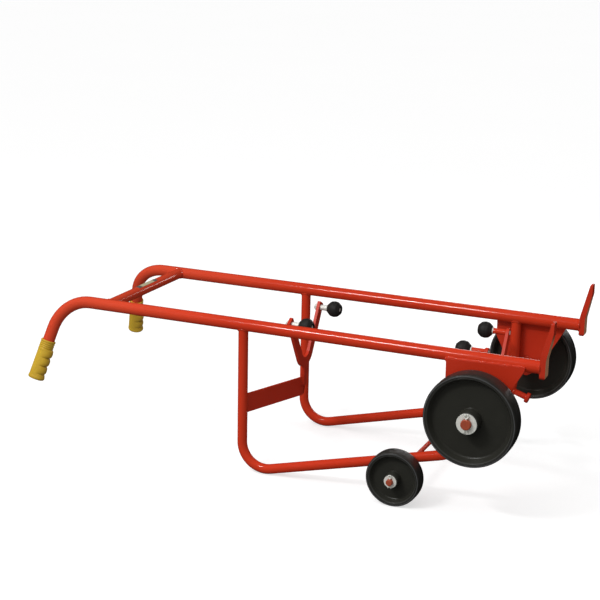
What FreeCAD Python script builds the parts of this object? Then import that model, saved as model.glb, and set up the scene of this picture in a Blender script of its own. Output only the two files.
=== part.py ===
import FreeCAD, Part
import math
import os

V = FreeCAD.Vector
os.makedirs("parts", exist_ok=True)

# ---------------------------------------------------------------------------
# Drum trolley. Millimetres, +Z up, floor at Z = 0, +X towards the toe plates,
# operator at -X, +Y is the operator's left.
# ---------------------------------------------------------------------------

# position of the middle of the load bed, measured from the middle of the
# overall length; every X offset below is measured from the load bed's middle
BED_X = 232.148

# side rails
RAIL_OD = 31.8
RAIL_WALL = 2.6
RAIL_Y = 200.0
RAIL_Z = 392.0
RAIL_TOE_X = 443.0
HANDLE_CORNER_X = -862.0
HANDLE_TURN_DEG = 76.4        # angle of the bend
HANDLE_SPLAY_DEG = 17.4       # outward tilt of the bend's plane
HANDLE_BEND_R = 105.0
HANDLE_LEG = 224.0

# hand grips
GRIP_LEN = 110.0
GRIP_OD = 39.0
GRIP_END = 5.0
GRIP_BUMP_OFFSET = 6.2
GRIP_BUMPS = ((35.0, 7.0), (58.5, 7.0), (82.0, 7.0), (102.5, 6.5))   # distance, half width

# handle cross bar and its label
BAR_X = -723.0
BAR_OD = 28.6
BAR_WALL = 2.3
LABEL_LEN = 100.0
LABEL_T = 0.6
LABEL_HALF_DEG = 50.0
LABEL_TILT_DEG = -18.0

# leg loops
LOOP_OD = 25.4
LOOP_WALL = 2.2
LEG_X = -327.0
LEG_BEND_R = 65.0
RUNNER_RISE_DEG = 14.5
RISER_X = 275.0
RISER_BEND_R = 90.0

# strap between the legs
STRAP_T = 6.0
STRAP_H = 50.0
STRAP_Z = 182.0
STRAP_LEG_X = -321.0
STRAP_APEX_X = -246.0
STRAP_APEX_R = 40.0

# roller forks: vee-shaped plates, one ahead of the legs, one behind the main axle
FORK_T = 8.0
FORK_W = 25.0
FORK_ARM_DEG = 60.3
FORK_BOTTOM_Z = 251.0         # middle of the rounded bottom
FORK_BOTTOM_R = 39.0
FORK_END_Z = 389.0            # middle of the square-cut arm ends
FORK_BOLT_BACK = 14.0         # bolt to arm end, along the arm
FORK_REAR_X = -242.0
FORK_FRONT_X = 282.0
FORK_FRONT_END_R = 10.5       # rounded arm ends of the front fork, about the bolt
TONGUE_W = 18.0
TONGUE_LOW_Z = 184.0
SEAT_W = 60.0                 # block between the front fork and the main axle
SEAT_H = 18.0

# toe plates
TOE_W = 30.0
TOE_TIP_W = 22.0
TOE_T = 14.0
TOE_BOTTOM_Z = 365.0
TOE_KINK_Z = 415.0
TOE_TIP_Z = 504.0
TOE_TIP_LEAN = 20.0

# axle plates
PLATE_T = 6.0
PLATE_REAR_X = 219.0
PLATE_FRONT_X = 411.0
PLATE_LOBE_R = 34.0

# main axle and large wheels
AXLE_X = 305.0
AXLE_Z = 267.0
AXLE_D = 25.0
AXLE_END_Y = 327.0
BIG_R = 114.0
BIG_W = 50.0
BIG_Y = 277.0
BIG_HUB_HALF = 38.0
BIG_HUB_R = 26.0
BIG_BUSH_R = 15.5
BIG_TYRE_IN_R = 106.0
BIG_DISH_R = 94.5
BIG_WASHER_OD = 50.0
BIG_WASHER_T = 3.0
BIG_PIN_D = 5.0

# small axle and small wheels
SMALL_AXLE_X = 107.0
SMALL_R = 70.0
SMALL_AXLE_D = 16.0
SMALL_AXLE_WAIST_D = 11.5      # between the sleeves
SMALL_AXLE_WAIST_Y = 166.0
SMALL_AXLE_END_Y = 281.0
SMALL_W = 40.0
SMALL_Y = 238.0
SMALL_HUB_HALF = 30.0
SMALL_HUB_R = 17.0
SMALL_BUSH_R = 10.5
SMALL_TYRE_IN_R = 62.0
SMALL_DISH_R = 53.5
SMALL_WASHER_OD = 32.0
SMALL_WASHER_T = 2.5
SMALL_PIN_D = 4.0
SLEEVE_OD = 30.0
SLEEVE_IN_Y = 176.0

# cradle rollers, overhung from the forks
ROLLER_OFFSET_REAR = 44.0     # fork plate to roller, middle to middle
ROLLER_OFFSET_FRONT = 60.0
ROLLER_R = 21.5
ROLLER_END_R = 12.0
ROLLER_HALF = 18.0
ROLLER_RECESS_R = 8.5         # hollow in the free end for the bolt head
ROLLER_RECESS = 8.0
ROLLER_BOLT_D = 10.0
ROLLER_BUSH_R = 7.0
ROLLER_BUSH_IN = 19.5         # bush ends, from the roller's middle
ROLLER_BUSH_OUT = 10.5
ROLLER_SPACER_OD = 15.0
ROLLER_WASHER_OD = 18.0
ROLLER_WASHER_T = 2.0
ROLLER_NUT_AF = 16.0
ROLLER_NUT_T = 7.0
ROLLER_HEAD_D = 15.0
ROLLER_HEAD_T = 5.0

# lashing studs
STUD_D = 16.0
STUD_NECK = 32.0
STUD_HEAD_D = 28.0
STUD_HEAD_T = 10.0

RUN_CLEAR = 0.05      # radial running clearance of bushes on their shafts
FACE_CLEAR = 0.35     # end clearance between turning and fixed faces

SIDES = (("right", -1.0), ("left", 1.0))


def bx(dx):
    return BED_X + dx


def unit(v):
    n = v.Length
    return V(v.x / n, v.y / n, v.z / n)


def cyl(p0, p1, r):
    d = p1 - p0
    return Part.makeCylinder(r, d.Length, p0, d)


def fuse(shapes):
    out = shapes[0]
    if len(shapes) > 1:
        out = out.multiFuse(shapes[1:])
    return out.removeSplitter()


def one_solid(shape):
    if len(shape.Solids) == 1:
        return shape.Solids[0]
    return shape


def rounded_wire(points, radii):
    """Closed wire through points, each corner rounded by its own radius."""
    n = len(points)
    corners = []
    for i in range(n):
        p = points[i]
        r = radii[i]
        if r <= 0:
            corners.append((p, None, p))
            continue
        a = unit(points[i - 1] - p)
        b = unit(points[(i + 1) % n] - p)
        ang = math.acos(max(-1.0, min(1.0, a.dot(b))))
        t = r / math.tan(ang / 2)
        bis = unit(a + b)
        mid = p + bis * (r / math.sin(ang / 2) - r)
        corners.append((p + a * t, mid, p + b * t))
    edges = []
    for i in range(n):
        s, m, e = corners[i]
        if m is not None:
            edges.append(Part.Arc(s, m, e).toShape())
        nxt = corners[(i + 1) % n][0]
        if (nxt - e).Length > 1e-6:
            edges.append(Part.LineSegment(e, nxt).toShape())
    return Part.Wire(edges)


def face_of(points, radii=None):
    if radii is None:
        radii = [0.0] * len(points)
    return Part.Face(rounded_wire(points, radii))


def ring_face(centre, normal, r_out, r_in):
    outer = Part.Wire(Part.Circle(centre, normal, r_out).toShape())
    if r_in <= 0:
        return Part.Face(outer)
    inner = Part.Wire(Part.Circle(centre, normal, r_in).toShape())
    return Part.makeFace([outer, inner], "Part::FaceMakerBullseye")


def sweep_bent(points, radii, section):
    """Solid along straight runs joined by tangent arcs.

    section(position, direction) gives the face at a point of the path."""
    segs = []
    pos = points[0]
    for i in range(1, len(points)):
        d1 = unit(points[i] - points[i - 1])
        if i == len(points) - 1:
            segs.append(section(pos, d1).extrude(points[i] - pos))
            break
        d2 = unit(points[i + 1] - points[i])
        turn = math.acos(max(-1.0, min(1.0, d1.dot(d2))))
        r = radii[i - 1]
        t = r * math.tan(turn / 2)
        start = points[i] - d1 * t
        if (start - pos).Length > 1e-6:
            segs.append(section(pos, d1).extrude(start - pos))
        axis = unit(d1.cross(d2))
        centre = start + axis.cross(d1) * r
        segs.append(section(start, d1).revolve(centre, axis, math.degrees(turn)))
        pos = points[i] + d2 * t
    return one_solid(fuse(segs))


def bent_tube(points, radii, od, wall):
    return sweep_bent(points, radii,
                      lambda p, d: ring_face(p, d, od / 2, od / 2 - wall))


def bent_rod(points, radii, od):
    return sweep_bent(points, radii, lambda p, d: ring_face(p, d, od / 2, 0))


def turned_y(profile, radii, xa, za, y_mid, s):
    """Solid of revolution about a Y axis; profile holds (radius, outward)."""
    pts = [V(xa + r, s * (y_mid + dy), za) for r, dy in profile]
    return face_of(pts, radii).revolve(V(xa, 0, za), V(0, 1, 0), 360)


def turned_x(profile, radii, y, z, x_mid):
    pts = [V(x_mid + dx, y, z + r) for r, dx in profile]
    return face_of(pts, radii).revolve(V(0, y, z), V(1, 0, 0), 360)


def hexagon_x(x0, x1, y, z, across_flats):
    rad = across_flats / math.sqrt(3)
    pts = [V(x0, y + rad * math.cos(math.radians(60 * k + 30)),
             z + rad * math.sin(math.radians(60 * k + 30))) for k in range(6)]
    return face_of(pts).extrude(V(x1 - x0, 0, 0))


def positive(shape):
    if shape.Volume < 0:
        shape.reverse()
    return shape


nodes = {}


def put(name, shape):
    nodes[name] = shape


# ---------------------------------------------------------------------------
# paths that several pieces share
# ---------------------------------------------------------------------------


def handle_dir(s):
    """Direction down the grip: back, outwards and down."""
    a = math.radians(HANDLE_TURN_DEG)
    b = math.radians(HANDLE_SPLAY_DEG)
    return V(-math.cos(a), s * math.sin(a) * math.sin(b), -math.sin(a) * math.cos(b))


def grip_front(s):
    """Finger side of the grip, square to its axis."""
    d = handle_dir(s)
    return unit(V(1, 0, 0) - d * d.x)


rise = math.radians(RUNNER_RISE_DEG)
RUNNER_DIR = V(math.cos(rise), 0, math.sin(rise))
# the floor bend's lowest outside point lies on the floor
leg_bend_cz = LEG_BEND_R + LOOP_OD / 2
# sharp corner of leg and runner
runner_p = V(bx(LEG_X) + LEG_BEND_R * (1 + math.sin(rise)), 0,
             leg_bend_cz - LEG_BEND_R * math.cos(rise))
leg_corner_z = runner_p.z - (runner_p.x - bx(LEG_X)) * math.tan(rise)


def runner_z(x):
    return runner_p.z + (x - runner_p.x) * math.tan(rise)


def rail_path(s):
    corner = V(bx(HANDLE_CORNER_X), s * RAIL_Y, RAIL_Z)
    return [V(bx(RAIL_TOE_X), s * RAIL_Y, RAIL_Z), corner, corner + handle_dir(s) * HANDLE_LEG]


def loop_path(y):
    return [V(bx(LEG_X), y, RAIL_Z), V(bx(LEG_X), y, leg_corner_z),
            V(bx(RISER_X), y, runner_z(bx(RISER_X))), V(bx(RISER_X), y, RAIL_Z)]


def rail_core(y):
    return cyl(V(bx(RAIL_TOE_X) + 5, y, RAIL_Z),
               V(bx(HANDLE_CORNER_X) + 90, y, RAIL_Z), RAIL_OD / 2)


# ---------------------------------------------------------------------------
# tubes of the frame
# ---------------------------------------------------------------------------
for side, s in SIDES:
    y = s * RAIL_Y
    put("rail_" + side, bent_tube(rail_path(s), [HANDLE_BEND_R], RAIL_OD, RAIL_WALL))
    loop = bent_tube(loop_path(y), [LEG_BEND_R, RISER_BEND_R], LOOP_OD, LOOP_WALL)
    put("leg_loop_" + side, one_solid(loop.cut(rail_core(y))))

bar = bent_tube([V(bx(BAR_X), -RAIL_Y, RAIL_Z), V(bx(BAR_X), RAIL_Y, RAIL_Z)], [],
                BAR_OD, BAR_WALL)
for side, s in SIDES:
    bar = bar.cut(rail_core(s * RAIL_Y))
bar = max(bar.Solids, key=lambda q: q.Volume)
put("handle_crossbar", bar)

# blank label wrapped over the top of the cross bar
lab_o = cyl(V(bx(BAR_X), -LABEL_LEN / 2, RAIL_Z), V(bx(BAR_X), LABEL_LEN / 2, RAIL_Z),
            BAR_OD / 2 + LABEL_T)
lab_i = cyl(V(bx(BAR_X), -LABEL_LEN, RAIL_Z), V(bx(BAR_X), LABEL_LEN, RAIL_Z), BAR_OD / 2)
reach = BAR_OD * 2
sector = [V(bx(BAR_X), -LABEL_LEN, RAIL_Z)]
for k in range(-1, 2):
    a = math.radians(LABEL_TILT_DEG + k * LABEL_HALF_DEG)
    sector.append(V(bx(BAR_X) + reach * math.sin(a), -LABEL_LEN, RAIL_Z + reach * math.cos(a)))
wedge = face_of(sector).extrude(V(0, 2 * LABEL_LEN, 0))
put("label_plate", one_solid(lab_o.cut(lab_i).common(wedge)))

# flat strap, bowed forward between the two legs
apex = V(bx(STRAP_APEX_X), 0, STRAP_Z)
strap_pts = [V(bx(STRAP_LEG_X), -RAIL_Y, STRAP_Z), apex, V(bx(STRAP_LEG_X), RAIL_Y, STRAP_Z)]


def strap_section(p, d):
    side_dir = V(-d.y, d.x, 0) * (STRAP_T / 2)
    up = V(0, 0, STRAP_H / 2)
    return face_of([p - side_dir - up, p + side_dir - up, p + side_dir + up, p - side_dir + up])


strap = sweep_bent(strap_pts, [STRAP_APEX_R], strap_section)
for side, s in SIDES:
    leg_core = cyl(V(bx(LEG_X), s * RAIL_Y, leg_bend_cz), V(bx(LEG_X), s * RAIL_Y, RAIL_Z), LOOP_OD / 2)
    strap = strap.cut(leg_core)
put("leg_strap", max(strap.Solids, key=lambda q: q.Volume))

# forks: two straight arms with a rounded bottom, cut from plate
arm = math.radians(FORK_ARM_DEG)
fork_vee = FORK_BOTTOM_Z - FORK_BOTTOM_R * (1 / math.cos(arm) - 1)
fork_end_y = (FORK_END_Z - fork_vee) / math.tan(arm)
roller_y = fork_end_y - FORK_BOLT_BACK * math.cos(arm)
roller_z = FORK_END_Z - FORK_BOLT_BACK * math.sin(arm)


def fork(x, end_r=0.0):
    """Vee plate; its arm ends are cut square, or drawn in to end_r about the bolt."""
    h = FORK_W / 2
    oy, oz = h * math.sin(arm), -h * math.cos(arm)
    x0 = bx(x) - FORK_T / 2
    pts = [(0, fork_vee - h / math.cos(arm)), (fork_end_y + oy, FORK_END_Z + oz),
           (fork_end_y - oy, FORK_END_Z - oz), (0, fork_vee + h / math.cos(arm)),
           (-fork_end_y + oy, FORK_END_Z - oz), (-fork_end_y - oy, FORK_END_Z + oz)]
    rad = [FORK_BOTTOM_R + h, 4, 4, FORK_BOTTOM_R - h, 4, 4]
    if end_r:
        # arm sides taper from the full width to a round end
        u, n = (math.cos(arm), math.sin(arm)), (math.sin(arm), -math.cos(arm))

        def at(along, side, m):
            return (m * (roller_y + u[0] * along + n[0] * side), roller_z + u[1] * along + n[1] * side)
        r = end_r
        pts = [pts[0], at(-45, h, 1), at(r, r, 1), at(r, -r, 1), at(-45, -h, 1),
               pts[3], at(-45, -h, -1), at(r, -r, -1), at(r, r, -1), at(-45, h, -1)]
        e = r - 0.01
        rad = [FORK_BOTTOM_R + h, 30, e * 0.98, e * 0.98, 30, FORK_BOTTOM_R - h, 30, e * 0.98, e * 0.98, 30]
    return face_of([V(x0, py, pz) for py, pz in pts], rad).extrude(V(FORK_T, 0, 0))


def bolt_holes(shape, x):
    for side, s in SIDES:
        shape = shape.cut(cyl(V(bx(x) - 60, s * roller_y, roller_z),
                              V(bx(x) + 60, s * roller_y, roller_z), ROLLER_BOLT_D / 2 + 0.2))
    return one_solid(shape.removeSplitter())


# the rear fork stands on the strap with a tongue in front of its bow
x0 = bx(FORK_REAR_X) - FORK_T / 2
tongue = face_of([V(x0, -TONGUE_W / 2, TONGUE_LOW_Z), V(x0, TONGUE_W / 2, TONGUE_LOW_Z),
                  V(x0, TONGUE_W / 2, FORK_BOTTOM_Z), V(x0, -TONGUE_W / 2, FORK_BOTTOM_Z)],
                 [5, 5, 0, 0]).extrude(V(FORK_T, 0, 0))
put("rear_fork", bolt_holes(fuse([fork(FORK_REAR_X), tongue]).cut(nodes["leg_strap"]), FORK_REAR_X))

# the front fork stands behind the main axle on a block that hugs it
seat_x = bx(FORK_FRONT_X) + FORK_T / 2 - 1
seat = Part.makeBox(bx(AXLE_X) - 8 - seat_x, SEAT_W, SEAT_H, V(seat_x, -SEAT_W / 2, AXLE_Z - SEAT_H / 2))
seat = seat.cut(cyl(V(bx(AXLE_X), -60, AXLE_Z), V(bx(AXLE_X), 60, AXLE_Z), AXLE_D / 2))
put("front_fork", bolt_holes(fuse([fork(FORK_FRONT_X, FORK_FRONT_END_R), seat]), FORK_FRONT_X))

# ---------------------------------------------------------------------------
# grips
# ---------------------------------------------------------------------------
for side, s in SIDES:
    axis, front = handle_dir(s), grip_front(s)
    tip = rail_path(s)[2]
    top = tip - axis * (GRIP_LEN - GRIP_END)
    end = tip + axis * GRIP_END
    r = GRIP_OD / 2
    # body profile: (distance from the top, radius), ribbed collar at the top
    prof = [(0, r + 0.6), (3, r + 1.0), (5, r + 0.2), (8, r + 0.8), (11, r + 0.2), (14, r + 0.8),
            (17, r + 0.2), (20, r + 0.8), (23, r + 0.2), (25, r + 0.4), (27, r - 0.4),
            (GRIP_LEN - 9, r - 0.4), (GRIP_LEN - 6, r + 0.6), (GRIP_LEN - 2.5, r + 0.6),
            (GRIP_LEN, r - 2.5)]
    pts = [top] + [top + axis * d - front * q for d, q in prof] + [end]
    solid = [face_of(pts).revolve(top, axis, 360)]
    # finger bumps: eccentric rounded discs on the front side
    for dist, h in GRIP_BUMPS:
        mid = top + axis * dist + front * GRIP_BUMP_OFFSET
        br = r + 0.2
        bump = [(-h, 0), (-h, br - 7.5), (-h * 0.55, br - 2.2), (0, br), (h * 0.55, br - 2.2),
                (h, br - 7.5), (h, 0)]
        bp = [mid + axis * a - front * b for a, b in bump]
        solid.append(face_of(bp, [0, 0, 2, 4, 2, 0, 0]).revolve(mid, axis, 360))
    grip = fuse(solid)
    bore = cyl(top - axis * 10, tip, RAIL_OD / 2)
    put("grip_" + side, one_solid(grip.cut(bore)))

# ---------------------------------------------------------------------------
# toe plates: vertical foot on the rail end, then leaning forward
# ---------------------------------------------------------------------------
for side, s in SIDES:
    y0 = s * RAIL_Y - TOE_W / 2
    x0 = bx(RAIL_TOE_X)
    lean = TOE_TIP_LEAN
    outline = [(x0, TOE_BOTTOM_Z), (x0 + TOE_T, TOE_BOTTOM_Z), (x0 + TOE_T, TOE_KINK_Z - 3),
               (x0 + lean + 7.5, TOE_TIP_Z - 26), (x0 + lean + 7.5, TOE_TIP_Z),
               (x0 + lean + 2, TOE_TIP_Z), (x0 + lean, TOE_TIP_Z - 4), (x0, TOE_KINK_Z)]
    body = face_of([V(px, y0, pz) for px, pz in outline], [5.5, 6.5, 14, 8, 2, 1.5, 1.5, 24])
    body = body.extrude(V(0, TOE_W, 0))
    # front outline: rounded bottom corners, sides drawn in towards the tip
    hw, tw = TOE_W / 2, TOE_TIP_W / 2
    yc = s * RAIL_Y
    front = [V(x0 - 20, yc - hw, TOE_BOTTOM_Z), V(x0 - 20, yc + hw, TOE_BOTTOM_Z),
             V(x0 - 20, yc + hw, TOE_KINK_Z + 10), V(x0 - 20, yc + tw, TOE_TIP_Z),
             V(x0 - 20, yc - tw, TOE_TIP_Z), V(x0 - 20, yc - hw, TOE_KINK_Z + 10)]
    shell = face_of(front, [9, 9, 25, 5, 5, 25]).extrude(V(80, 0, 0))
    put("toe_plate_" + side, one_solid(body.common(shell)))

# ---------------------------------------------------------------------------
# axle plates on the outer sides of the rails
# ---------------------------------------------------------------------------
for side, s in SIDES:
    y_in = s * (RAIL_Y + RAIL_OD / 2)
    lobe = PLATE_LOBE_R
    rail_low = RAIL_Z - RAIL_OD / 2
    out = [(PLATE_REAR_X - 5, RAIL_Z - 4), (PLATE_FRONT_X, RAIL_Z), (PLATE_FRONT_X - 2, RAIL_Z - 10),
           (AXLE_X + lobe * 0.88, AXLE_Z - lobe * 0.55), (AXLE_X, AXLE_Z - lobe - 4),
           (AXLE_X - lobe * 1.25, AXLE_Z - lobe * 0.55), (PLATE_REAR_X, AXLE_Z + 62),
           (PLATE_REAR_X - 0.5, rail_low + 2)]
    rad = [1.5, 2, 3, 14, 12, 16, 20, 10]
    face = face_of([V(bx(px), y_in, pz) for px, pz in out], rad)
    plate = face.extrude(V(0, s * PLATE_T, 0))
    hole = cyl(V(bx(AXLE_X), -400, AXLE_Z), V(bx(AXLE_X), 400, AXLE_Z), AXLE_D / 2)
    put("axle_plate_" + side, one_solid(plate.cut(hole)))

# ---------------------------------------------------------------------------
# axles
# ---------------------------------------------------------------------------


def axle_bar(x, z, d, end_y, pin_y, pin_d, waist=None):
    c = 1.5
    half = [V(x, -end_y, z), V(x + d / 2 - c, -end_y, z), V(x + d / 2, -end_y + c, z),
            V(x + d / 2, end_y - c, z), V(x + d / 2 - c, end_y, z), V(x, end_y, z)]
    if waist:
        wd, wy = waist
        slope = d / 2 - wd / 2
        half[3:3] = [V(x + d / 2, -wy, z), V(x + wd / 2, -wy + slope, z),
                     V(x + wd / 2, wy - slope, z), V(x + d / 2, wy, z)]
    bar_ = face_of(half).revolve(V(x, 0, z), V(0, 1, 0), 360)
    for q in (-1, 1):
        bar_ = bar_.cut(cyl(V(x, q * pin_y, z - d), V(x, q * pin_y, z + d), pin_d / 2))
    return one_solid(bar_)


def split_pin(x, y, z, d, shaft_d):
    """Split pin standing through the shaft: eye above, spread legs below."""
    r = d / 2 - 0.15
    top_z = z + shaft_d / 2 + 1.0
    low_z = z - shaft_d / 2 - 1.0
    eye_r = d * 0.95
    pieces = [cyl(V(x, y, low_z), V(x, y, top_z + r), r),
              Part.makeTorus(eye_r, r * 0.72, V(x, y, top_z + eye_r + r * 0.55), V(0, 1, 0))]
    for q in (-1, 1):
        a = V(x + q * r * 0.45, y, low_z + 0.6)
        b = V(x + q * (r * 0.45 + d * 0.85), y, low_z - d * 1.7)
        pieces.append(cyl(a, b, r * 0.52))
    return one_solid(fuse(pieces))


big_pin_y = BIG_Y + BIG_HUB_HALF + FACE_CLEAR + BIG_WASHER_T + BIG_PIN_D / 2 + 0.6
small_z = SMALL_R
small_pin_y = SMALL_Y + SMALL_HUB_HALF + FACE_CLEAR + SMALL_WASHER_T + SMALL_PIN_D / 2 + 0.6

put("main_axle", axle_bar(bx(AXLE_X), AXLE_Z, AXLE_D, AXLE_END_Y, big_pin_y, BIG_PIN_D))
put("small_axle", axle_bar(bx(SMALL_AXLE_X), small_z, SMALL_AXLE_D, SMALL_AXLE_END_Y,
                           small_pin_y, SMALL_PIN_D, (SMALL_AXLE_WAIST_D, SMALL_AXLE_WAIST_Y)))


def washer(x, z, y_a, y_b, od, bore):
    return cyl(V(x, y_a, z), V(x, y_b, z), od / 2).cut(
        cyl(V(x, y_a - 50, z), V(x, y_a + 50, z), bore / 2))


def both(maker):
    return Part.makeCompound([maker(s) for _, s in SIDES])


plate_out = RAIL_Y + RAIL_OD / 2 + PLATE_T
big_in_face = BIG_Y - BIG_HUB_HALF - FACE_CLEAR
big_out_face = BIG_Y + BIG_HUB_HALF + FACE_CLEAR
put("main_axle_spacers", both(lambda s: washer(
    bx(AXLE_X), AXLE_Z, s * plate_out, s * (big_in_face - 2.0), 38.0, AXLE_D)))
put("main_axle_inner_washers", both(lambda s: washer(
    bx(AXLE_X), AXLE_Z, s * (big_in_face - 2.0), s * big_in_face, 46.0, AXLE_D + 0.4)))
put("main_axle_outer_washers", both(lambda s: washer(
    bx(AXLE_X), AXLE_Z, s * big_out_face, s * (big_out_face + BIG_WASHER_T), BIG_WASHER_OD,
    AXLE_D + 0.8)))
put("main_axle_split_pins", both(lambda s: split_pin(
    bx(AXLE_X), s * big_pin_y, AXLE_Z, BIG_PIN_D, AXLE_D)))

small_in_face = SMALL_Y - SMALL_HUB_HALF - FACE_CLEAR
small_out_face = SMALL_Y + SMALL_HUB_HALF + FACE_CLEAR
put("small_axle_inner_washers", both(lambda s: washer(
    bx(SMALL_AXLE_X), small_z, s * (small_in_face - 2.0), s * small_in_face, 28.0,
    SMALL_AXLE_D + 0.4)))
put("small_axle_outer_washers", both(lambda s: washer(
    bx(SMALL_AXLE_X), small_z, s * small_out_face, s * (small_out_face + SMALL_WASHER_T),
    SMALL_WASHER_OD, SMALL_AXLE_D + 0.8)))
put("small_axle_split_pins", both(lambda s: split_pin(
    bx(SMALL_AXLE_X), s * small_pin_y, small_z, SMALL_PIN_D, SMALL_AXLE_D)))

# sleeves that carry the small axle, with a web up to the runner
for side, s in SIDES:
    ax = bx(SMALL_AXLE_X)
    y_a, y_b = s * SLEEVE_IN_Y, s * (small_in_face - 2.0)
    tube = cyl(V(ax, y_a, small_z), V(ax, y_b, small_z), SLEEVE_OD / 2)
    web_y = s * (RAIL_Y - 9.0)
    web = face_of([V(ax - 14, web_y, small_z), V(ax + 14, web_y, small_z),
                   V(ax + 17, web_y, runner_z(ax + 17)), V(ax - 17, web_y, runner_z(ax - 17))])
    web = web.extrude(V(0, s * 13.0, 0))
    sleeve = tube.fuse(web)
    run_core = cyl(V(ax, s * RAIL_Y, runner_z(ax)) - RUNNER_DIR * 80,
                   V(ax, s * RAIL_Y, runner_z(ax)) + RUNNER_DIR * 40, LOOP_OD / 2)
    sleeve = sleeve.cut(run_core).cut(cyl(V(ax, -400, small_z), V(ax, 400, small_z),
                                          SMALL_AXLE_D / 2))
    put("small_axle_sleeve_" + side, max(sleeve.removeSplitter().Solids, key=lambda q: q.Volume))

# ---------------------------------------------------------------------------
# wheels
# ---------------------------------------------------------------------------


def wheel(prefix, side, s, x, z, y_mid, radius, width, hub_half, hub_r, bush_r, tyre_r, dish_r,
          shaft_d, web_half):
    w = width / 2
    rim_w = w - 0.6
    big = radius > 90
    lip_r = tyre_r - (2.0 if big else 1.6)
    # hub, web, sloping dish and narrow rim lip in one moulding
    prof = [(bush_r, -hub_half), (bush_r, hub_half), (hub_r, hub_half), (hub_r + 2, web_half),
            (dish_r, web_half), (lip_r, rim_w), (tyre_r, rim_w), (tyre_r, -rim_w),
            (lip_r, -rim_w), (dish_r, -web_half), (hub_r + 2, -web_half), (hub_r, -hub_half)]
    f, g = (6.0, 1.8) if big else (4.0, 1.4)
    rad = [0, 0, 1.5, g, f, 0.7, 0, 0, 0.7, f, g, 1.5]
    put(prefix + "_centre_" + side, positive(turned_y(prof, rad, x, z, y_mid, s)))
    # solid tyre: flat side walls, rounded shoulders, slightly crowned tread
    sh = 3.6 if big else 3.2
    tyre = [(tyre_r, -rim_w), (tyre_r, rim_w), (tyre_r + 1.2, w), (radius - 1.0, w),
            (radius, w * 0.45), (radius, -w * 0.45), (radius - 1.0, -w), (tyre_r + 1.2, -w)]
    put(prefix + "_tyre_" + side,
        positive(turned_y(tyre, [0, 0, 0.5, sh, 8, 8, sh, 0.5], x, z, y_mid, s)))
    ri = shaft_d / 2 + RUN_CLEAR
    bush = [(ri, -hub_half), (ri, hub_half), (bush_r, hub_half), (bush_r, -hub_half)]
    put(prefix + "_bush_" + side, positive(turned_y(bush, [0, 0, 0, 0], x, z, y_mid, s)))


for side, s in SIDES:
    wheel("big_wheel", side, s, bx(AXLE_X), AXLE_Z, BIG_Y, BIG_R, BIG_W, BIG_HUB_HALF, BIG_HUB_R,
          BIG_BUSH_R, BIG_TYRE_IN_R, BIG_DISH_R, AXLE_D, 6.5)
    wheel("small_wheel", side, s, bx(SMALL_AXLE_X), small_z, SMALL_Y, SMALL_R, SMALL_W,
          SMALL_HUB_HALF, SMALL_HUB_R, SMALL_BUSH_R, SMALL_TYRE_IN_R, SMALL_DISH_R, SMALL_AXLE_D, 5.5)

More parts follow.
